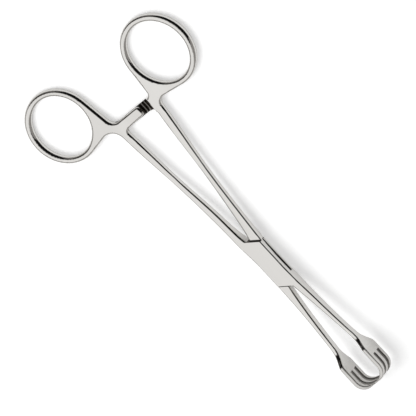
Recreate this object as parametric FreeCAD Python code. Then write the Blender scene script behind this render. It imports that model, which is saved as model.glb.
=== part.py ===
"""Tenaculum forceps with finger rings, ratchet, box lock and three prongs on each jaw.

Two forged halves cross in a box lock. The box half has the cheeks and the slot, the tongue half
passes through that slot, and a rivet holds both. The frame has +X along the forceps to the jaws,
+Y to the side of the tongue half's ring and +Z up. The origin is where the rivet's axis meets the
underside of the box. Each half is drawn with its handle at +Y and its jaw at -Y, as the tongue half
lies, and the box half is then mirrored across the long axis to face it.
"""
import FreeCAD
import Part
import math
import os
from collections import namedtuple
from FreeCAD import Vector

# Box lock
BOX_HEIGHT = 4.4
BOX_HALF_WIDTH = 3.85
BOX_END_LONG = 11.2
BOX_END_SHORT = 8.15
BOX_END_INNER_Y = 0.95
TOP_CHEEK = 1.75
SLOT_HEIGHT = 1.3
SLOT_SIDE_END = 7.0
TONGUE_RECESS = 0.22
TONGUE_SIDE_TAPER = 0.35
TONGUE_CLEARANCE = 0.03
WALL_CLEARANCE = 0.08
SHOULDER_GAP = 0.72
SHOULDER_HALF_HEIGHT = 1.45
SHOULDER_PROUD = 0.4
TONGUE_ROOT_X = 10.6
TONGUE_ROOT_Y = 3.6
RIVET_DIAMETER = 3.0
RIVET_CLEARANCE = 0.04

# The tongue half's handle and jaw end inside the box before their slanted shoulders are cut
BLANK_END_X = 6.2
HANDLE_END_Y = -1.0
JAW_END_Y = 0.25

# Shanks, at four stations between the ring and the box
SHANK_HALF_HEIGHT = 1.2
SHANK_END_X = -66.0
SHANK_WAIST_X = -45.0
SHANK_SWELL_X = -23.0
SHANK_SHOULDER_X = -15.0
SHANK_BOX_X = -12.0
SHANK_WAIST_WIDTH = 2.42
SWELL_RISE = 0.2
SHOULDER_RISE = 0.62
SHANK_EDGE_ROUND = 0.75

# Finger rings
RING_HOLE_WIDTH = 22.5
RING_SIDE_BAR = 3.0
RING_END_BAR = 2.55
RING_TURN = 7.8
RING_SIDE = 25.7
RING_HALF_HEIGHT = 1.45
RING_LEVEL_X = -76.0
RING_RIM_ROUND = 1.2
RING_EDGE_ROUND = 1.2
RING_ROUND_X = -77.0

# Ratchet
RATCHET_X = -72.2
RATCHET_GAP = 0.1
TOOTH_PITCH = 1.48
TOOTH_DEPTH = 0.5
TOOTH_LAND = 0.3
TOOTH_FIRST = 2.1
RATCHET_RUN_OUT = 1.2

# Jaws
JAW_HALF_HEIGHT = 1.5
JAW_EDGE_ROUND = 0.5
JAW_START_Y = 0.95
JAW_WAIST_X = 36.0
JAW_WAIST_Y = 5.7
JAW_WAIST_WIDTH = 1.85
JAW_ROOT_X = 20.5
JAW_ROOT_Y = 4.55
JAW_ROOT_WIDTH = 2.5
JAW_ROOT_RISE = 0.25
JAW_SWELL_X = 14.5
JAW_SWELL_RISE = 0.6
FLARE_X = 39.0
PLATE_X = 46.8
FLARE_STATIONS = ((0.34, 0.17), (0.58, 0.53), (0.78, 0.87))
PLATE_HALF_HEIGHT = 4.5
PLATE_THICKNESS = 1.75
PLATE_Y = 7.05
FLARE_THICKNESS = 1.85

# Prongs
PRONG_ROOT_X = 49.0
JAW_END_X = 57.85
BEND_RADIUS = 4.6
PRONG_WIDTH = 2.1
PRONG_ROUND = 0.4
MOST_ROUND = 0.45
PRONG_STATIONS = (0, 0.15, 0.3, 0.45, 0.6, 0.73, 0.85, 0.94, 1)
TIP_SIZE = 0.3
TIP_GAP = 0.06
TAPER_POWER = 2.4

MID = BOX_HEIGHT / 2
SLOT_TOP = BOX_HEIGHT - TOP_CHEEK
SLOT_BOTTOM = SLOT_TOP - SLOT_HEIGHT
TONGUE_Y = BOX_HALF_WIDTH - TONGUE_RECESS
SLOT_END_Y = TONGUE_Y - TONGUE_SIDE_TAPER
BEYOND = 60.0
TOLERANCE = 1e-3

# What the two halves don't share
Half = namedtuple("Half", "ring_x hole_length spread end_width swell_width box_y box_width mid_height "
                          "notch_x notch_round web_rise web_round bar_width near_lean far_lean "
                          "bar_reach bar_round root_round bar_is_upper")
TONGUE = Half(ring_x=-84.3, hole_length=24.7, spread=9.8, end_width=3.5, swell_width=3.2, box_y=2.45,
              box_width=4.2, mid_height=SHOULDER_HALF_HEIGHT, notch_x=-71.4, notch_round=2.8,
              web_rise=2.3, web_round=1.6, bar_width=4.3, near_lean=0.35, far_lean=0.2,
              bar_reach=4.6, bar_round=1.3, root_round=2.5, bar_is_upper=False)
BOX = Half(ring_x=-86.1, hole_length=24.2, spread=8.0, end_width=3.3, swell_width=3.0, box_y=2.9,
           box_width=3.5, mid_height=BOX_HEIGHT / 2, notch_x=-74.1, notch_round=4.9,
           web_rise=3.0, web_round=3.4, bar_width=4.1, near_lean=0.1, far_lean=-0.2,
           bar_reach=3.95, bar_round=1.5, root_round=1.7, bar_is_upper=True)


def spline(points, start=None, end=None):
    """A smooth edge through points, with optional directions at its two ends."""
    curve = Part.BSplineCurve()
    if start and end:
        curve.interpolate(points, InitialTangent=start, FinalTangent=end)
    else:
        curve.interpolate(points)
    return curve.toShape()


def plan(points):
    """Plan points given as (x, y), as vectors."""
    return [Vector(x, y, 0) for x, y in points]


def chain(points):
    """Straight edges that join points in turn."""
    return [Part.makeLine(a, b) for a, b in zip(points, points[1:])]


def prism(edges, bottom, top):
    """The upright solid over a closed plan outline, between two heights."""
    solid = Part.Face(Part.Wire(Part.__sortEdges__(edges))).extrude(Vector(0, 0, top - bottom))
    solid.translate(Vector(0, 0, bottom))
    return solid


def polygon(points, bottom, top):
    """The upright solid over a plan polygon."""
    return prism(chain(plan(list(points) + [points[0]])), bottom, top)


def is_upright(edge):
    """True for a straight edge along Z."""
    a, b = edge.Vertexes[0].Point, edge.Vertexes[-1].Point
    return edge.Curve.TypeId == "Part::GeomLine" and math.hypot(a.x - b.x, a.y - b.y) < TOLERANCE


def round_corners(solid, corners):
    """Round the upright edges at plan points, each given with its radius."""
    for point, radius in corners:
        upright = [e for e in solid.Edges if is_upright(e)]
        near = min(upright, key=lambda e: math.dist(point, (e.Vertexes[0].X, e.Vertexes[0].Y)))
        solid = solid.makeFillet(radius, [near])
    return solid


def ring_ellipse(half, end_bar, side_bar):
    """The finger hole's outline grown by a bar at its ends and sides, as an ellipse curve."""
    along, across = half.hole_length / 2 + end_bar, RING_HOLE_WIDTH / 2 + side_bar
    turn = RING_TURN if along >= across else RING_TURN + 90
    ellipse = Part.Ellipse(Vector(0, 0, 0), max(along, across), min(along, across))
    ellipse.rotate(FreeCAD.Placement(Vector(0, 0, 0), Vector(0, 0, 1), turn))
    ellipse.translate(Vector(half.ring_x, RING_SIDE, 0))
    return ellipse


def ring_tangent(half, corner, side):
    """The point where a line from a corner touches the ring's outside, on one side or the other."""
    c, s = math.cos(math.radians(RING_TURN)), math.sin(math.radians(RING_TURN))
    a, b = half.hole_length / 2 + RING_END_BAR, RING_HOLE_WIDTH / 2 + RING_SIDE_BAR
    dx, dy = corner[0] - half.ring_x, corner[1] - RING_SIDE
    along, across = (dx * c + dy * s) / a, (dy * c - dx * s) / b
    angle = math.atan2(across, along) + side * math.acos(1 / math.hypot(along, across))
    x, y = a * math.cos(angle), b * math.sin(angle)
    return Vector(half.ring_x + x * c - y * s, RING_SIDE + x * s + y * c, 0)


def shank_slope(half):
    """How far the shank's middle line moves in Y for each millimetre in X."""
    return (half.spread - half.box_y) / (SHANK_END_X - SHANK_BOX_X)


def shank_points(half, side):
    """The shank's edge at its stations, from the ring to the box; side 1 is outer, -1 inner."""
    stations = ((SHANK_END_X, half.end_width), (SHANK_WAIST_X, SHANK_WAIST_WIDTH),
                (SHANK_SWELL_X, half.swell_width), (SHANK_BOX_X, half.box_width))
    return [(x, half.box_y + shank_slope(half) * (x - SHANK_BOX_X) + side * width / 2)
            for x, width in stations]


def inner_line(half, x):
    """The Y of the shank's inner edge where it runs straight past the ratchet."""
    return half.spread - half.end_width / 2 + shank_slope(half) * (x - SHANK_END_X)


def handle_outline(half):
    """The edges of the ring, web, ratchet bar and their joins, and the corners to be rounded."""
    notch = (half.notch_x, inner_line(half, half.notch_x) + half.end_width)
    near_x, far_x = RATCHET_X + half.bar_width / 2, RATCHET_X - half.bar_width / 2
    root_x = near_x + half.near_lean
    near = (root_x, inner_line(half, root_x))
    far = (far_x + half.far_lean, inner_line(half, SHANK_END_X) + half.web_rise)
    outer, inner = shank_points(half, 1)[0], shank_points(half, -1)[0]
    ellipse = ring_ellipse(half, RING_END_BAR, RING_SIDE_BAR)
    touch_out, touch_in = ring_tangent(half, notch, 1), ring_tangent(half, far, -1)
    first, last = ellipse.parameter(touch_out), ellipse.parameter(touch_in)
    bar_end = -half.bar_reach
    r = half.bar_round
    edges = chain(plan([outer, notch]) + [touch_out])
    edges.append(Part.ArcOfEllipse(ellipse, first, last if last > first else last + 2 * math.pi).toShape())
    edges += chain([touch_in] + plan([far, (far_x, bar_end + r)]))
    edges.append(quarter((far_x + r, bar_end + r), r, 180, 270))
    edges += chain(plan([(far_x + r, bar_end), (near_x - r, bar_end)]))
    edges.append(quarter((near_x - r, bar_end + r), r, 270, 360))
    edges += chain(plan([(near_x, bar_end + r), near, inner]))
    corners = [(notch, half.notch_round), (far, half.web_round), (near, half.root_round)]
    return edges, corners


def quarter(centre, radius, first, last):
    """An arc in plan between two angles in degrees."""
    circle = Part.Circle(Vector(*centre, 0), Vector(0, 0, 1), radius)
    return Part.ArcOfCircle(circle, math.radians(first), math.radians(last)).toShape()


def jaw_points(width_side):
    """The jaw's edge at -Y from the root to the plate; 0 is its outer edge, 1 its inner edge."""
    plate_middle = (FLARE_X + PLATE_X) / 2
    stations = ((JAW_ROOT_X, JAW_ROOT_Y, JAW_ROOT_WIDTH), (JAW_WAIST_X, JAW_WAIST_Y, JAW_WAIST_WIDTH),
                (plate_middle, (JAW_WAIST_Y + 2 * PLATE_Y) / 3, FLARE_THICKNESS),
                (PLATE_X, PLATE_Y, PLATE_THICKNESS))
    return [(x, -(y - width_side * width)) for x, y, width in stations]


def jaw_outline(outer_start, inner_start):
    """The edges of the jaw arm and plate, from the points where they leave the box."""
    along = Vector(1, 0, 0)
    outer, inner = plan([outer_start] + jaw_points(0)), plan([inner_start] + jaw_points(1))
    ends = plan([(PRONG_ROOT_X, -PLATE_Y), (PRONG_ROOT_X, -PLATE_Y + PLATE_THICKNESS)])
    return [spline(outer, along, along), spline(inner, inner[1] - inner[0], along)] + \
        chain([outer[-1]] + ends + [inner[-1]])


def shank_outline(half, outer_end, inner_end):
    """The shank's outer and inner edges, each run on to a point on the box."""
    outer = plan(shank_points(half, 1) + [outer_end])
    inner = plan(shank_points(half, -1) + [inner_end])
    straight = Vector(1, shank_slope(half), 0)
    return [spline(outer, straight, Vector(1, 0, 0)), spline(inner, straight, inner[-1] - inner[-2])]


def side_profile(half):
    """The half seen from the side, drawn out across Y to trim the plan."""
    low, full, jaw, plate = SHANK_HALF_HEIGHT, half.mid_height, JAW_HALF_HEIGHT, PLATE_HALF_HEIGHT
    swell_end = (BOX_END_LONG + BOX_END_SHORT) / 2
    rise = [(SHANK_WAIST_X, low), (SHANK_SWELL_X, low + SWELL_RISE * (full - low)),
            (SHANK_SHOULDER_X, low + SHOULDER_RISE * (full - low)), (-swell_end, full)]
    fall = [(swell_end, full), (JAW_SWELL_X, jaw + JAW_SWELL_RISE * (full - jaw)),
            (JAW_ROOT_X, jaw + JAW_ROOT_RISE * (full - jaw)), (JAW_WAIST_X, jaw), (FLARE_X, jaw)]
    flare = [(FLARE_X + along * (PLATE_X - FLARE_X), jaw + up * (plate - jaw))
             for along, up in ((0, 0),) + FLARE_STATIONS + ((1, 1),)]
    level = Vector(1, 0, 0)
    ring = [(RING_LEVEL_X, RING_HALF_HEIGHT), (SHANK_END_X, low)]
    start_x = SHANK_END_X - BEYOND
    edges = []
    for sign in (1, -1):
        curves = [[Vector(x, 0, MID + sign * h) for x, h in points] for points in (ring, rise, fall, flare)]
        edges += [spline(points, level, level) for points in curves]
        edges += chain([Vector(start_x, 0, MID + sign * RING_HALF_HEIGHT), curves[0][0]])
        edges += chain([curves[0][-1], curves[1][0]]) + chain([curves[1][-1], curves[2][0]])
        edges += chain([curves[3][-1], Vector(PRONG_ROOT_X, 0, MID + sign * plate)])
    edges += chain([Vector(start_x, 0, MID + sign * RING_HALF_HEIGHT) for sign in (-1, 1)])
    edges += chain([Vector(PRONG_ROOT_X, 0, MID - plate), Vector(PRONG_ROOT_X, 0, MID + plate)])
    solid = Part.Face(Part.Wire(Part.__sortEdges__(edges))).extrude(Vector(0, 2 * BEYOND, 0))
    solid.translate(Vector(0, -BEYOND, 0))
    return solid


def box_end_x(y, gap=0.0):
    """The X of the box's slanted handle end at a Y, moved out by a gap."""
    slant = (BOX_END_LONG - BOX_END_SHORT) / (BOX_HALF_WIDTH + BOX_END_INNER_Y)
    return -BOX_END_SHORT - gap + (y - BOX_HALF_WIDTH) * slant


def is_long(edge, is_end):
    """True for an edge that runs along the outline on a skin, but not for one at an end."""
    a, b = edge.Vertexes[0].Point, edge.Vertexes[-1].Point
    across = len(edge.Vertexes) == 2 and abs(a.x - b.x) < TOLERANCE
    middle = edge.valueAt((edge.FirstParameter + edge.LastParameter) / 2)
    return not across and not is_upright(edge) and not is_end(middle)


def edge_round(x):
    """The radius of the long edges, full on the ring, less on the shank and least from the box on."""
    stations = ((RING_ROUND_X, RING_EDGE_ROUND), (SHANK_END_X, SHANK_EDGE_ROUND),
                (SHANK_SHOULDER_X, JAW_EDGE_ROUND))
    for (a, first), (b, last) in zip(stations, stations[1:]):
        if x < b:
            return first + (last - first) * max(0, x - a) / (b - a)
    return JAW_EDGE_ROUND


def round_long_edges(solid, is_end):
    """The solid with its long edges rounded, by a radius that changes on the way."""
    document = FreeCAD.newDocument()
    blank = document.addObject("Part::Feature")
    blank.Shape = solid
    rounded = document.addObject("Part::Fillet")
    rounded.Base = blank
    rounded.Edges = [(number, edge_round(edge.firstVertex().X), edge_round(edge.lastVertex().X))
                     for number, edge in enumerate(solid.Edges, 1) if is_long(edge, is_end)]
    document.recompute()
    solid = rounded.Shape.copy()
    FreeCAD.closeDocument(document.Name)
    return solid


def forge(half, edges, corners, is_end):
    """An outline made solid, trimmed to its side profile, with its long edges rounded."""
    solid = round_corners(prism(edges, -BEYOND, BEYOND), corners).common(side_profile(half))
    return round_long_edges(solid, is_end)


def pierce_ring(half, solid):
    """The finger hole, with its rims well rounded for the finger."""
    hole = ring_ellipse(half, 0, 0)
    solid = solid.cut(prism([hole.toShape()], -BEYOND, BEYOND))
    rims = []
    for edge in solid.Edges:
        middle = edge.valueAt((edge.FirstParameter + edge.LastParameter) / 2)
        middle.z = 0
        nearest = hole.value(hole.parameter(middle))
        if middle.distanceToPoint(nearest) < TOLERANCE and not is_upright(edge):
            rims.append(edge)
    return solid.makeFillet(RING_RIM_ROUND, rims)


def cut_ratchet(half, solid):
    """The bar thinned to its own level, with saw teeth on the face towards the other bar."""
    near_x, far_x = RATCHET_X + half.bar_width / 2, RATCHET_X - half.bar_width / 2
    up = -1 if half.bar_is_upper else 1
    level = MID - up * RATCHET_GAP / 2
    left = far_x - half.root_round
    right = near_x + half.near_lean + RATCHET_RUN_OUT * half.root_round
    low, high = sorted((level, level + up * BEYOND))
    waste = polygon([(left, -BEYOND), (right, -BEYOND), (right, inner_line(half, right)),
                     (left, inner_line(half, left))], low, high)
    solid = solid.cut(waste)
    steep_y = inner_line(half, RATCHET_X) - TOOTH_FIRST
    teeth = []
    while steep_y > -half.bar_reach:
        ramp_y = steep_y + TOOTH_PITCH - TOOTH_LAND
        corners = [(steep_y, level + up * TOOTH_DEPTH), (steep_y, level - up * TOOTH_DEPTH),
                   (ramp_y, level), (ramp_y, level + up * TOOTH_DEPTH)]
        wire = Part.Wire(chain([Vector(left, y, z) for y, z in corners + corners[:1]]))
        teeth.append(Part.Face(wire).extrude(Vector(right - left, 0, 0)))
        steep_y -= TOOTH_PITCH
    return solid.cut(teeth)


def section(x, y, inward, thickness, width, middle_z):
    """A rounded oblong across a prong, from a point on its outer face."""
    r = min(PRONG_ROUND, MOST_ROUND * thickness, MOST_ROUND * width)
    up = Vector(0, 0, 1)
    start = Vector(x, y, middle_z)

    def at(depth, rise):
        return start + inward * depth + up * rise

    half = width / 2
    k = r * (1 - math.sqrt(0.5))
    sides = [(at(r, -half), at(thickness - r, -half)), (at(thickness, r - half), at(thickness, half - r)),
             (at(thickness - r, half), at(r, half)), (at(0, half - r), at(0, r - half))]
    bends = [at(thickness - k, k - half), at(thickness - k, half - k), at(k, half - k), at(k, k - half)]
    edges = []
    for number, (a, b) in enumerate(sides):
        edges.append(Part.makeLine(a, b))
        edges.append(Part.Arc(b, bends[number], sides[(number + 1) % 4][0]).toShape())
    return Part.Wire(edges)


def prong(middle_z):
    """One prong at -Y: straight from the plate, bent inwards and drawn out to a point."""
    bend_x = JAW_END_X - BEND_RADIUS
    inward = Vector(0, 1, 0)
    root = section(PRONG_ROOT_X, -PLATE_Y, inward, PLATE_THICKNESS, PRONG_WIDTH, middle_z)
    straight = Part.Face(root).extrude(Vector(bend_x - PRONG_ROOT_X, 0, 0))
    centre_y = BEND_RADIUS - PLATE_Y
    arc = BEND_RADIUS * math.pi / 2
    length = arc - centre_y - TIP_GAP
    wires = []
    for share in PRONG_STATIONS:
        run = share * length
        angle = min(run, arc) / BEND_RADIUS
        x = bend_x + BEND_RADIUS * math.sin(angle)
        y = centre_y - BEND_RADIUS * math.cos(angle) + max(0, run - arc)
        inward = Vector(-math.sin(angle), math.cos(angle), 0)
        left = 1 - share ** TAPER_POWER
        thickness = TIP_SIZE + (PLATE_THICKNESS - TIP_SIZE) * left
        width = TIP_SIZE + (PRONG_WIDTH - TIP_SIZE) * left
        wires.append(section(x, y, inward, thickness, width, middle_z))
    return straight.fuse(Part.makeLoft(wires, True, False))


def add_prongs(solid):
    """The half with its three prongs on the end of its plate."""
    step = PLATE_HALF_HEIGHT - PRONG_WIDTH / 2
    return solid.fuse([prong(MID + k * step) for k in (-1, 0, 1)]).removeSplitter()


def shoulder_waste(gap):
    """Everything on the box's side of the handle's slanted shoulder."""
    return polygon([(box_end_x(BEYOND, gap), BEYOND), (BEYOND, BEYOND), (BEYOND, -BEYOND),
                    (box_end_x(-BEYOND, gap), -BEYOND)], -BEYOND, BEYOND)


def tongue_corners():
    """The tongue's plan: straight sides in the open part of the slot, slanted ones at its walls."""
    side = SLOT_SIDE_END
    handle_root = (-BOX_END_LONG - SHOULDER_GAP, TONGUE.box_y - TONGUE.box_width / 2)
    jaw_root = (BOX_END_LONG + SHOULDER_GAP, -JAW_START_Y)
    return [(-TONGUE_ROOT_X, TONGUE_ROOT_Y), (-BOX_END_SHORT, TONGUE_Y), (side, SLOT_END_Y), jaw_root,
            (TONGUE_ROOT_X, -TONGUE_ROOT_Y), (BOX_END_SHORT, -TONGUE_Y), (-side, -SLOT_END_Y), handle_root]


def slot_corners():
    """The slot's plan: open to one side and one end, and closed by the two slanted walls."""
    corners = tongue_corners()
    walls = []
    for (ax, ay), (bx, by) in ((corners[2], corners[3]), (corners[6], corners[7])):
        length = math.dist((ax, ay), (bx, by))
        ux, uy = (bx - ax) / length, (by - ay) / length
        nx, ny = -uy * WALL_CLEARANCE, ux * WALL_CLEARANCE
        walls.append(((ax + nx, ay + ny), (bx + nx + ux, by + ny + uy)))
    (p, q), (r, s) = walls
    return [(p[0], BEYOND), p, q, (q[0], -BEYOND), (r[0], -BEYOND), r, s, (s[0], BEYOND)]


def make_tongue_half():
    """The half that passes through the box, with its handle at +Y."""
    proud = BOX_HALF_WIDTH + SHOULDER_PROUD
    outer, inner = (-BLANK_END_X, proud), (-BLANK_END_X, HANDLE_END_Y)
    edges, corners = handle_outline(TONGUE)
    edges += shank_outline(TONGUE, outer, inner) + chain(plan([outer, inner]))
    handle = forge(TONGUE, edges, corners, lambda p: abs(p.x + BLANK_END_X) < TOLERANCE)
    waste = shoulder_waste(SHOULDER_GAP)
    handle = cut_ratchet(TONGUE, pierce_ring(TONGUE, handle)).cut(waste)
    outer, inner = (BLANK_END_X, -proud), (BLANK_END_X, JAW_END_Y)
    edges = jaw_outline(outer, inner) + chain(plan([outer, inner]))
    ends = (BLANK_END_X, PRONG_ROOT_X)
    jaw = forge(TONGUE, edges, [], lambda p: min(abs(p.x - x) for x in ends) < TOLERANCE)
    waste.rotate(Vector(0, 0, 0), Vector(0, 0, 1), 180)
    jaw = jaw.cut(waste)
    tongue = polygon(tongue_corners(), SLOT_BOTTOM + TONGUE_CLEARANCE, SLOT_TOP - TONGUE_CLEARANCE)
    hole = Part.makeCylinder(RIVET_DIAMETER / 2 + RIVET_CLEARANCE, BOX_HEIGHT)
    return add_prongs(handle.fuse([tongue, jaw])).cut(hole)


def make_box_half():
    """The half with the slotted box, with its handle at -Y."""
    handle_corner, jaw_corner = (-BOX_END_LONG, BOX_END_INNER_Y), (BOX_END_LONG, -BOX_END_INNER_Y)
    side_start, side_end = (0.0, BOX_HALF_WIDTH), (BOX_END_SHORT, BOX_HALF_WIDTH)
    edges, corners = handle_outline(BOX)
    edges += shank_outline(BOX, side_start, handle_corner)
    edges += chain(plan([side_start, side_end, jaw_corner]))
    edges += jaw_outline((0.0, -BOX_HALF_WIDTH), jaw_corner)
    edges += chain(plan([(0.0, -BOX_HALF_WIDTH), (-BOX_END_SHORT, -BOX_HALF_WIDTH), handle_corner]))

    def is_end(p):
        ends = (box_end_x(-p.y), -box_end_x(p.y), PRONG_ROOT_X)
        return min(abs(p.x - x) for x in ends) < TOLERANCE

    solid = cut_ratchet(BOX, pierce_ring(BOX, forge(BOX, edges, corners, is_end)))
    solid = add_prongs(solid).mirror(Vector(0, 0, 0), Vector(0, 1, 0))
    slot = polygon(slot_corners(), SLOT_BOTTOM, SLOT_TOP)
    hole = Part.makeCylinder(RIVET_DIAMETER / 2, BOX_HEIGHT)
    return solid.cut(slot).cut(hole)


def make_rivet():
    """The rivet, flush with both cheeks."""
    return Part.makeCylinder(RIVET_DIAMETER / 2, BOX_HEIGHT)


PIECES = {"tongue_half": make_tongue_half, "box_half": make_box_half, "pivot_pin": make_rivet}

os.makedirs("parts", exist_ok=True)
for name, make in PIECES.items():
    piece = make()
    print(name, piece.isValid(), len(piece.Solids), round(piece.Volume, 2))
    piece.exportStep("parts/%s.step" % name)
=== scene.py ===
"""Finishes and studio of a ring-handled tenaculum forceps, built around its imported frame."""

from __future__ import annotations

import logging
import math
from dataclasses import dataclass, field
from enum import Enum
from typing import Any

import bmesh
import bpy
import numpy as np
from mathutils import Matrix, Vector


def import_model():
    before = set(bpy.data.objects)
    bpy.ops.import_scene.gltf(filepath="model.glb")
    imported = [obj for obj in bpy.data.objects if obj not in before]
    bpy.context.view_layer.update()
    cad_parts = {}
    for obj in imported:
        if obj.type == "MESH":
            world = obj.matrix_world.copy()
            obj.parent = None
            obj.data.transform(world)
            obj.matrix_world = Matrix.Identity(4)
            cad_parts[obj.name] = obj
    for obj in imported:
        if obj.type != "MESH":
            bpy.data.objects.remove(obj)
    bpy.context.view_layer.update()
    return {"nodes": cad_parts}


LOG = logging.getLogger("forceps")
MM = 0.001

Rgb = tuple[float, float, float]
Span = tuple[float, float]
WHITE = (1.0, 1.0, 1.0, 1.0)


class Ray(Enum):
    """Ways in which the floor and the room are seen."""

    STRAIGHT = "Is Camera Ray"
    MIRRORED = "Is Glossy Ray"
    THROUGH = "Is Transmission Ray"


class Wire:
    """A shader socket whose sums, products and comparisons add the nodes for them."""

    def __init__(self, graph: Graph, socket: bpy.types.NodeSocket) -> None:
        """Keep a socket and the graph that it belongs to.

        Args:
            graph: The node graph that new nodes go into.
            socket: The output socket that carries the value.
        """
        self.graph = graph
        self.socket = socket

    def _maths(self, operation: str, *values: Any) -> Wire:
        """A Math node on this value and others."""
        return self.graph.node("ShaderNodeMath", {"operation": operation}, *values)

    def __add__(self, other: Any) -> Wire:
        """This value plus another."""
        return self._maths("ADD", self, other)

    def __radd__(self, other: Any) -> Wire:
        """Another value plus this one."""
        return self._maths("ADD", other, self)

    def __sub__(self, other: Any) -> Wire:
        """This value less another."""
        return self._maths("SUBTRACT", self, other)

    def __rsub__(self, other: Any) -> Wire:
        """Another value less this one."""
        return self._maths("SUBTRACT", other, self)

    def __mul__(self, other: Any) -> Wire:
        """This value times another."""
        return self._maths("MULTIPLY", self, other)

    def __rmul__(self, other: Any) -> Wire:
        """Another value times this one."""
        return self._maths("MULTIPLY", other, self)

    def __abs__(self) -> Wire:
        """The size of this value without its sign."""
        return self._maths("ABSOLUTE", self)

    def ramp(self, low: float, high: float) -> Wire:
        """Zero below one value and one above another, with a smooth step between.

        Args:
            low: The value at which the step starts.
            high: The value at which it ends; below low, the step falls.

        Returns:
            The step's value, from 0 to 1.
        """
        settings = {"interpolation_type": "SMOOTHSTEP"}
        if low < high:
            return self.graph.node("ShaderNodeMapRange", settings, self, low, high, 0.0, 1.0)
        return self.graph.node("ShaderNodeMapRange", settings, self, high, low, 1.0, 0.0)

    def band(self, low: float, high: float, soft: float) -> Wire:
        """One between two values, with smooth steps of a given width inside them.

        Args:
            low: The value at which the band begins.
            high: The value at which it ends.
            soft: The width of each step.

        Returns:
            The band's value, from 0 to 1.
        """
        return self.ramp(low, low + soft) * self.ramp(high, high - soft)


class Graph:
    """A node tree that is filled through one method."""

    def __init__(self, tree: bpy.types.NodeTree) -> None:
        """Empty a tree and keep it.

        Args:
            tree: The tree of a material or of the world.
        """
        tree.nodes.clear()
        self.tree = tree

    def node(self, kind: str, settings: dict[str, Any], *values: Any, out: int = 0, **named: Any) -> Wire:
        """Add a node, set it up and join it.

        Args:
            kind: The node's type name.
            settings: Attributes to set first, such as a Math node's operation.
            values: Values or wires for its first sockets in order; None leaves one alone.
            out: Which of its outputs to return.
            named: Values or wires for sockets by name, with underscores for spaces.

        Returns:
            The chosen output, or the first input of a closing node, which has no output.
        """
        made = self.tree.nodes.new(kind)
        for name, value in settings.items():
            setattr(made, name, value)
        pairs = [(made.inputs[i], v) for i, v in enumerate(values) if v is not None]
        pairs += [(made.inputs[name.replace("_", " ")], v) for name, v in named.items()]
        for socket, value in pairs:
            if isinstance(value, Wire):
                self.tree.links.new(value.socket, socket)
            else:
                socket.default_value = value
        return Wire(self, made.outputs[out] if made.outputs else made.inputs[0])

    def beside(self, wire: Wire, output: int | str) -> Wire:
        """Another output of the node that a wire comes from."""
        return Wire(self, wire.socket.node.outputs[output])

    def blend(self, share: Any, first: Any, second: Any) -> Wire:
        """Mix two colours by a share."""
        unused = (None,) * 5
        return self.node("ShaderNodeMix", {"data_type": "RGBA"}, share, *unused, first, second, out=2)

    def split(self, vector: Wire) -> tuple[Wire, Wire, Wire]:
        """The three parts of a vector."""
        x = self.node("ShaderNodeSeparateXYZ", {}, vector)
        return x, self.beside(x, 1), self.beside(x, 2)


def opaque(colour: Rgb) -> tuple[float, float, float, float]:
    """A colour with full alpha."""
    return (*colour, 1.0)


@dataclass(frozen=True)
class SatinSteel:
    """Stainless steel, ground along the limbs, polished bright and left satin on the jaws' plates."""

    name: str
    bright: Rgb = (0.765, 0.75, 0.725)
    dull: Rgb = (0.72, 0.705, 0.68)
    # Near-black painted shade for the slots between the prongs, the ratchet's teeth and the box lock's
    # gaps.
    shade_colour: Rgb = (0.06, 0.05, 0.042)
    roughness: float = 0.06
    roughness_swing: float = 0.03
    recess_roughness: float = 0.35
    plate_roughness: float = 0.4
    plate_start: float = 44.0 * MM
    plate_full: float = 47.0 * MM
    drawn_out: Rgb = (0.06, 1.0, 1.0)
    cloud_scale: float = 90.0
    cloud_detail: float = 3.0
    cloud_span: Span = (0.35, 0.65)
    brush_scale: float = 5200.0
    brush_detail: float = 2.0
    brush_height: float = 0.0012 * MM
    brush_strength: float = 0.4

    def noise(self, graph: Graph, place: Wire, scale: float, detail: float) -> Wire:
        """A noise drawn out along the limbs.

        Args:
            graph: The material's graph.
            place: The object coordinates.
            scale: Waves in a metre.
            detail: Finer layers in the noise.

        Returns:
            The noise's value, about 0 to 1.
        """
        drawn = graph.node("ShaderNodeMapping", {}, place, Scale=self.drawn_out)
        return graph.node("ShaderNodeTexNoise", {}, drawn, Scale=scale, Detail=detail)

    def material(self, painted_shade: PaintedShade) -> bpy.types.Material:
        """Build the material.

        Args:
            painted_shade: Where shade is painted near black into the slots between the prongs, the
                ratchet's teeth and the box lock's gaps.

        Returns:
            The material, with all its detail from nodes.
        """
        made = bpy.data.materials.new(self.name)
        made.use_nodes = True
        graph = Graph(made.node_tree)
        place = graph.node("ShaderNodeTexCoord", {}, out=3)
        clouds = self.noise(graph, place, self.cloud_scale, self.cloud_detail)
        brush = self.noise(graph, place, self.brush_scale, self.brush_detail)
        # Painted shade: the share of the steel darkened in the slots, teeth and gaps; the roughness rises
        # there too.
        dark = painted_shade.mask(graph, place)
        skin = graph.blend(clouds.ramp(*self.cloud_span), opaque(self.dull), opaque(self.bright))
        # Painted shade: the steel's colour is blended towards near black where the mask marks the slots,
        # teeth and gaps.
        colour = graph.blend(dark, skin, opaque(self.shade_colour))
        plates = graph.split(place)[0].ramp(self.plate_start, self.plate_full)
        satin = self.roughness + (self.plate_roughness - self.roughness) * plates
        rough = (satin + self.roughness_swing * (brush - 0.5)) * (1.0 - dark) \
            + self.recess_roughness * dark
        bump = graph.node("ShaderNodeBump", {}, Strength=self.brush_strength,
                          Distance=self.brush_height, Height=brush)
        shader = graph.node("ShaderNodeBsdfPrincipled", {}, colour, Metallic=1.0, Roughness=rough,
                            Normal=bump)
        graph.node("ShaderNodeOutputMaterial", {}, shader)
        return made


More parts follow.
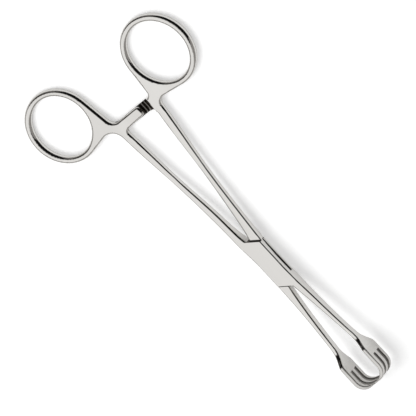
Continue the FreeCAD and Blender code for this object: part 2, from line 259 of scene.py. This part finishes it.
@dataclass(frozen=True)
class PaintedShade:
    """Painted shade: where the steel's colour is darkened to near black, with a rougher finish, between
    the prongs, in the ratchet and in the box lock.
    """

    middle: float = 2.2 * MM
    prong_start: float = 48.95 * MM
    prong_inner: float = 3.3 * MM
    prong_middle: float = 1.15 * MM
    prong_share: float = 0.6
    bar_x: float = -72.2 * MM
    bar_reach: float = 2.75 * MM
    bar_side: float = 8.0 * MM
    tooth_depth: float = 0.62 * MM
    land_share: float = 0.75
    slot_middle: float = 2.0 * MM
    slot_reach: float = 0.75 * MM
    slot_thin: float = -8.0 * MM
    slot_wide: float = 4.0 * MM
    box_reach: float = 12.4 * MM
    end_slant: float = 0.635
    edge: float = 0.08 * MM
    tooth_root: float = 0.06 * MM
    lower_side: float = -0.6
    level_face: Span = (0.6, 0.9)
    land_face: Span = (0.93, 0.98)
    steep_face: Span = (0.4, 0.2)
    slanted_face: Span = (0.9, 0.96)

    def within(self, value: Wire, reach: float) -> Wire:
        """One where a distance from a middle is under a reach, with a soft edge."""
        return abs(value).ramp(reach + self.edge, reach)

    def prongs(self, x: Wire, above: Wire, nz: Wire) -> Wire:
        """The sides of the prongs that face each other."""
        outer = (above * nz * (1.0 / MM)).ramp(0.0, self.lower_side)
        middle = self.within(above, self.prong_middle) * abs(nz).ramp(*self.level_face)
        sides = (outer + middle).ramp(0.0, 1.0) * self.prong_share
        reach = x.ramp(self.prong_start, self.prong_start + self.edge)
        return reach * self.within(above, self.prong_inner) * sides

    def teeth(self, x: Wire, y: Wire, above: Wire, nz: Wire) -> Wire:
        """The toothed faces of the ratchet's bars, with painted shade darkest on the teeth's steep sides
        and lighter on the lands.
        """
        across = self.within(x - self.bar_x, self.bar_reach) * self.within(y, self.bar_side)
        lands = abs(nz).ramp(*self.land_face) * self.land_share
        steep = abs(nz).ramp(*self.steep_face) * self.within(above, self.tooth_depth - self.tooth_root)
        return across * self.within(above, self.tooth_depth) * (lands + steep)

    def box(self, x: Wire, y: Wire, z: Wire, nx: Wire, ny: Wire, nz: Wire) -> Wire:
        """The slot's floor and roof, and the slanted ends that face the shoulders."""
        size = math.hypot(1.0, self.end_slant)
        slanted = abs(nx * (1.0 / size) - ny * (self.end_slant / size)).ramp(*self.slanted_face)
        level = self.within(z - self.slot_middle, self.slot_reach) * abs(nz).ramp(*self.level_face) \
            * x.ramp(self.slot_thin, self.slot_wide)
        near = self.within(x, self.box_reach) * self.within(y, self.box_reach / 2)
        return near * (slanted + level).ramp(0.0, 1.0)

    def mask(self, graph: Graph, place: Wire) -> Wire:
        """The share of painted shade at each point.

        Args:
            graph: The material's graph.
            place: The object coordinates.

        Returns:
            One where shade is painted dark and zero on the polished skin.
        """
        x, y, z = graph.split(place)
        nx, ny, nz = graph.split(graph.node("ShaderNodeNewGeometry", {}, out=1))
        above = z - self.middle
        # Painted shade: the prong slots, the ratchet's teeth and the box lock's gaps added into one
        # darkening share.
        dark = self.prongs(x, above, nz) + self.teeth(x, y, above, nz) + self.box(x, y, z, nx, ny, nz)
        return dark.ramp(0.0, 1.0)


@dataclass(frozen=True)
class PaleFloor:
    """A matt white surface that shows white where it is lit and keeps the shadow."""

    name: str = "studio_floor"
    albedo: float = 0.8
    lift: float = 0.42
    gleam: float = 0.2

    def material(self) -> bpy.types.Material:
        """Build the material, lifted to white where it is seen straight and a little in the steel."""
        made = bpy.data.materials.new(self.name)
        made.use_nodes = True
        graph = Graph(made.node_tree)
        paint = graph.node("ShaderNodeBsdfDiffuse", {}, opaque((self.albedo,) * 3))
        path = graph.node("ShaderNodeLightPath", {})
        seen = graph.beside(path, Ray.STRAIGHT.value) + graph.beside(path, Ray.THROUGH.value)
        lift = seen * self.lift + graph.beside(path, Ray.MIRRORED.value) * self.gleam
        glow = graph.node("ShaderNodeEmission", {}, WHITE, lift)
        mixed = graph.node("ShaderNodeAddShader", {}, paint, glow)
        graph.node("ShaderNodeOutputMaterial", {}, mixed)
        return made


@dataclass
class Studio:
    """The floor, the lamp, the room that the steel mirrors and the camera."""

    view_from: Vector = field(default_factory=lambda: Vector((-0.083, 0.523, 0.848)))
    level_to: Vector = field(default_factory=lambda: Vector((0.99656, 0.0435, 0.0705)))
    roll_deg: float = 47.2
    pixel: float = 0.36 * MM
    frame_pixels: int = 416
    photo_origin: Span = (239.78, 232.2)
    rivet_at: Span = (42.7, -2.6)
    rivet_height: float = 2.2 * MM
    distance: float = 4.0
    sensor: float = 36.0
    clip: Span = (0.05, 20.0)
    ring_distance: float = 100 * MM
    floor_size: float = 0.5
    jaw_drop: float = 3.0 * MM
    key_from: Vector = field(default_factory=lambda: Vector((-0.12, -0.34, 1.1)))
    key_size: float = 0.8
    key_watts: float = 7.4
    world_level: float = 0.38
    window_low: float = 0.44
    window_side: float = -0.3
    window_fade: float = 0.42
    window_left: float = -0.42
    window_right: float = 0.9
    screen_low: float = 0.0
    screen_left: float = -0.9
    screen_right: float = 0.4
    corner_side: float = -0.42
    corner_low: float = 0.4
    corner_high: float = 0.82
    softness: float = 0.12
    bright: Rgb = (0.97, 0.97, 0.97)
    middling: Rgb = (0.3, 0.29, 0.28)
    dark: Rgb = (0.008, 0.008, 0.008)

    def across(self) -> Vector:
        """The direction in the frame that runs level to the right before the roll."""
        return (self.level_to - self.level_to.project(self.view_from)).normalized()

    def camera(self) -> bpy.types.Object:
        """Add the camera at the photograph's angle and framing.

        Returns:
            The camera's object.
        """
        back = self.view_from.normalized()
        level = self.across()
        down = level.cross(back)
        turn = math.radians(self.roll_deg)
        right = level * math.cos(turn) - down * math.sin(turn)
        below = level * math.sin(turn) + down * math.cos(turn)
        half = self.frame_pixels / 2
        dx, dy = half - self.photo_origin[0], half - self.photo_origin[1]
        along = dx * math.cos(turn) + dy * math.sin(turn) - self.rivet_at[0]
        beside = -dx * math.sin(turn) + dy * math.cos(turn) - self.rivet_at[1]
        target = Vector((0, 0, self.rivet_height)) + (level * along + down * beside) * self.pixel
        data = bpy.data.cameras.new("camera")
        data.sensor_width = self.sensor
        data.lens = data.sensor_width * self.distance / (self.frame_pixels * self.pixel)
        data.clip_start, data.clip_end = self.clip
        made = bpy.data.objects.new("camera", data)
        turned = Matrix((right, -below, back)).transposed().to_4x4()
        made.matrix_world = Matrix.Translation(target + back * self.distance) @ turned
        bpy.context.scene.collection.objects.link(made)
        bpy.context.scene.camera = made
        return made

    def rest_plane(self, meshes: list[bpy.types.Mesh]) -> tuple[Vector, float]:
        """Find the plane that touches the finger rings and passes a little below the jaws.

        Args:
            meshes: The meshes of both halves.

        Returns:
            The plane's point below the jaws, and its slope from there up to the rings.
        """
        points = np.vstack([np.array([v.co[:] for v in mesh.vertices]) for mesh in meshes])
        front = points[points[:, 2].argmin()] - np.array((0.0, 0.0, self.jaw_drop))
        rings = points[points[:, 0] < front[0] - self.ring_distance]
        slope = float(((rings[:, 2] - front[2]) / (front[0] - rings[:, 0])).min())
        return Vector(front.tolist()), slope

    def floor(self, meshes: list[bpy.types.Mesh]) -> bpy.types.Object:
        """Add the floor under the forceps.

        Args:
            meshes: The meshes of both halves.

        Returns:
            The floor's object.
        """
        front, slope = self.rest_plane(meshes)
        sheet = bmesh.new()
        bmesh.ops.create_grid(sheet, x_segments=1, y_segments=1, size=self.floor_size)
        lean = Matrix.Rotation(math.atan(slope), 4, "Y")
        under = Matrix.Translation((front.x, 0, front.z))
        bmesh.ops.transform(sheet, matrix=under @ lean, verts=sheet.verts)
        mesh = bpy.data.meshes.new("floor")
        sheet.to_mesh(mesh)
        sheet.free()
        mesh.materials.append(PaleFloor().material())
        made = bpy.data.objects.new("floor", mesh)
        bpy.context.scene.collection.objects.link(made)
        return made

    def key_lamp(self) -> bpy.types.Object:
        """Add the soft lamp behind the forceps, which draws the shadow towards the viewer.

        Returns:
            The lamp's object.
        """
        data = bpy.data.lights.new("key_lamp", "AREA")
        data.shape = "SQUARE"
        data.size = self.key_size
        data.energy = self.key_watts
        made = bpy.data.objects.new("key_lamp", data)
        made.location = self.key_from
        made.rotation_mode = "QUATERNION"
        made.rotation_quaternion = self.key_from.to_track_quat("Z", "Y")
        made.visible_glossy = False
        bpy.context.scene.collection.objects.link(made)
        return made

    def room(self, graph: Graph) -> Wire:
        """Lay out what the steel mirrors: a window, a dark screen, a dark corner and grey walls.

        Args:
            graph: The world's graph.

        Returns:
            The room's colour in each direction.
        """
        x, y, z = graph.split(graph.node("ShaderNodeTexCoord", {}, out=0))
        soft = self.softness
        behind = y.ramp(self.window_side + self.window_fade, self.window_side)
        window = behind * z.ramp(self.window_low, self.window_low + soft) \
            * x.band(self.window_left, self.window_right, soft)
        screen = (1.0 - behind) * z.ramp(self.screen_low, self.screen_low + soft) \
            * x.band(self.screen_left, self.screen_right, soft)
        corner = behind * x.ramp(self.corner_side, self.corner_side - soft / 2) \
            * z.band(self.corner_low, self.corner_high, soft / 2)
        walls = graph.blend(window, opaque(self.middling), opaque(self.bright))
        return graph.blend((screen + corner).ramp(0.0, 1.0), walls, opaque(self.dark))

    def surroundings(self) -> bpy.types.World:
        """Make the world: white to the camera, an even light to the floor and a room to the steel.

        Returns:
            The world.
        """
        world = bpy.data.worlds.new("studio")
        world.use_nodes = True
        graph = Graph(world.node_tree)
        path = graph.node("ShaderNodeLightPath", {})
        even = graph.node("ShaderNodeBackground", {}, WHITE, self.world_level)
        mirrored = graph.node("ShaderNodeBackground", {}, self.room(graph), 1.0)
        white = graph.node("ShaderNodeBackground", {}, WHITE, 1.0)
        lit = graph.node("ShaderNodeMixShader", {}, graph.beside(path, Ray.MIRRORED.value), even, mirrored)
        seen = graph.node("ShaderNodeMixShader", {}, graph.beside(path, Ray.STRAIGHT.value), lit, white)
        graph.node("ShaderNodeOutputWorld", {}, seen)
        world.cycles.sampling_method = "NONE"
        bpy.context.scene.world = world
        return world


@dataclass
class Forceps:
    """The two forged halves and the rivet, with the finish of each."""

    nodes: dict[str, bpy.types.Object]
    halves: tuple[str, str] = ("box_half", "tongue_half")
    rivet: str = "pivot_pin"

    def dress(self) -> None:
        """Give every piece of the frame its steel."""
        for name in self.halves:
            self.put(name, SatinSteel(name + "_steel").material(PaintedShade()))
        self.put(self.rivet, SatinSteel("rivet_steel").material(PaintedShade()))

    def put(self, name: str, steel: bpy.types.Material) -> None:
        """Assign a material to a piece.

        Args:
            name: The piece's node.
            steel: The material for all its faces.
        """
        piece = self.nodes[name]
        for slot in piece.material_slots:
            slot.material = steel
        LOG.info("%s has %s", name, steel.name)

    def meshes(self) -> list[bpy.types.Mesh]:
        """The meshes of both halves."""
        return [self.nodes[name].data for name in self.halves]


def main() -> None:
    """Dress the forceps and set up the studio around it."""
    logging.basicConfig(level=logging.INFO, format="%(message)s")
    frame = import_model()
    forceps = Forceps(frame["nodes"])
    forceps.dress()
    studio = Studio()
    studio.floor(forceps.meshes())
    studio.key_lamp()
    studio.surroundings()
    studio.camera()
    bpy.context.scene.view_settings.view_transform = "Standard"


if __name__ == "__main__":
    main()
